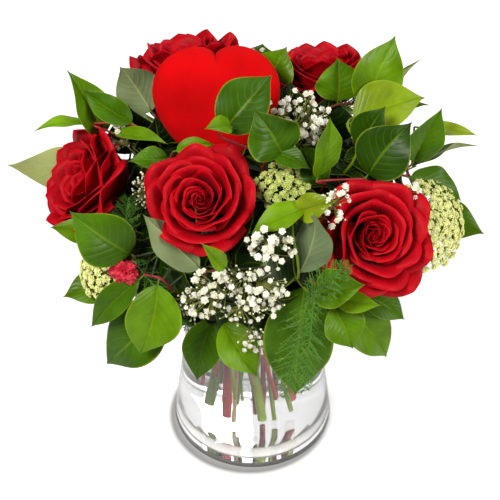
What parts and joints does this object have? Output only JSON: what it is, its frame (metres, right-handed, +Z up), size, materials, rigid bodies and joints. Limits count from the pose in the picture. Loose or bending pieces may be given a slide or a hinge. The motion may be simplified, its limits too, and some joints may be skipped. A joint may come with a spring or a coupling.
{
  "type": "roses in a vase",
  "caption": "Bouquet of red roses with a flocked heart, white filler flowers and glossy leaves, standing in a tapered clear glass vase of water.",
  "frame": {"origin": "centre of the vase's underside", "axes": "+Z up, -Y towards the front of the bouquet, +X to its right"},
  "size_m": [0.404, 0.3001, 0.387],
  "materials": {
    "glass": "clear, polished",
    "water": "clear water",
    "raffia": "dry natural fibre",
    "flock": "velvety flock over a light foam body",
    "wood": "plain pale wood",
    "petal": "velvety rose petals",
    "rose_stem": "green living stem",
    "lace": "green-white florets",
    "salal": "glossy leathery leaves",
    "fern": "fine matt fronds",
    "gypsophila": "papery white florets"
  },
  "bodies": {
    "root": {"vase": "glass", "water": "water", "tie": "raffia", "heart": "flock", "heart_stick": "wood", "rose_front_bloom": "petal", "rose_front_stem": "rose_stem", "rose_right_bloom": "petal", "rose_right_stem": "rose_stem", "rose_left_bloom": "petal", "rose_left_stem": "rose_stem", "rose_back_left_bloom": "petal", "rose_back_left_stem": "rose_stem", "rose_back_right_bloom": "petal", "rose_back_right_stem": "rose_stem", "lace_flower_middle": "lace", "lace_flower_right": "lace", "lace_flower_left": "lace", "salal_centre": "salal", "salal_inner_left": "salal", "salal_left_back": "salal", "salal_back_left": "salal", "salal_back": "salal", "salal_back_right": "salal", "salal_right_back": "salal", "salal_right_side": "salal", "salal_right_upper": "salal", "salal_right_low": "salal", "salal_front_right": "salal", "salal_front": "salal", "salal_front_left": "salal", "salal_left_low": "salal", "salal_left_front": "salal", "salal_rear_low_right": "salal", "salal_rear_low_left": "salal", "fern_front": "fern", "fern_left": "fern", "gypsophila_front": "gypsophila", "gypsophila_top": "gypsophila", "gypsophila_left": "gypsophila", "gypsophila_rear": "gypsophila"}
  },
  "joints": []
}
